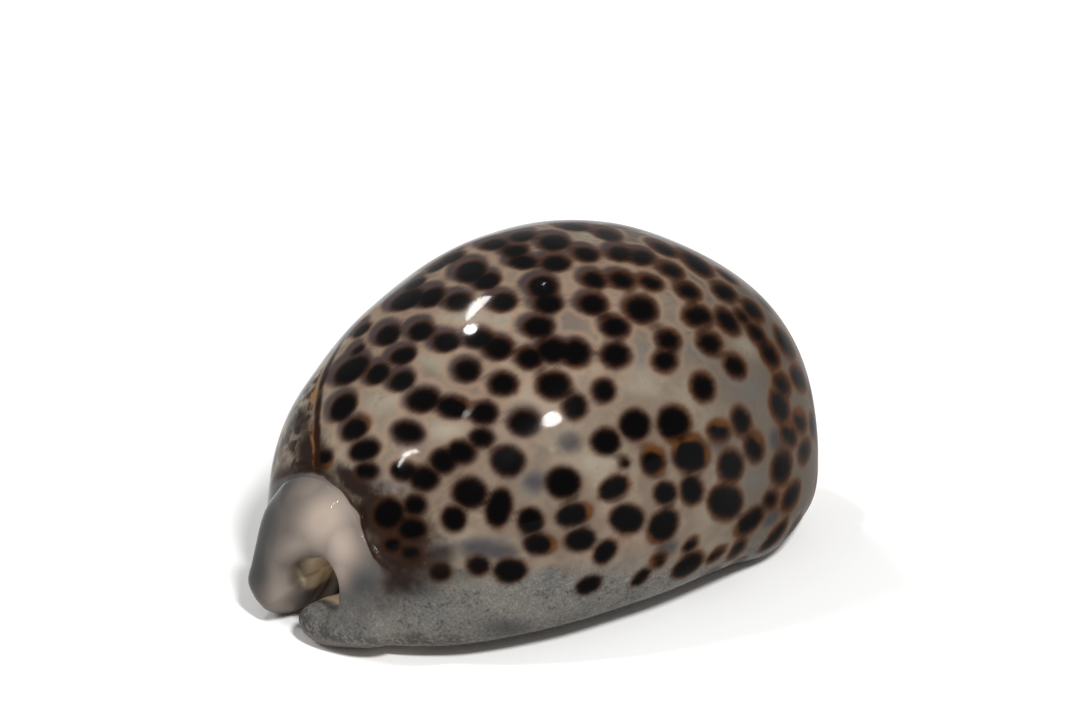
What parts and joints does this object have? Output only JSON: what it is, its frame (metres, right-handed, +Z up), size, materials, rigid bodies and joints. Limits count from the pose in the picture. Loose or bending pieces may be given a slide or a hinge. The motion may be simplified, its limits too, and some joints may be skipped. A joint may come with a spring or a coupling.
{
  "type": "tiger cowrie shell",
  "caption": "Hollow egg-shaped seashell with a toothed slit along its flat base, a thick lipped notch at each end and a glossy spotted back.",
  "frame": {"origin": "under the middle of the shell's box, on the plane that its base rests on", "axes": "+Z up through the back, -X towards the narrow front end with the deep canal notch, +X towards the broad back end, +Y towards the outer lip, -Y towards the columella"},
  "size_m": [0.0804, 0.054, 0.0408],
  "materials": {
    "shell": "natural glassy glaze of the shell, blackish-brown soft-edged spots on a pale pinkish grey ground, speckled grey lower margin and pale ends and base"
  },
  "bodies": {
    "root": {"shell": "shell"}
  },
  "joints": []
}
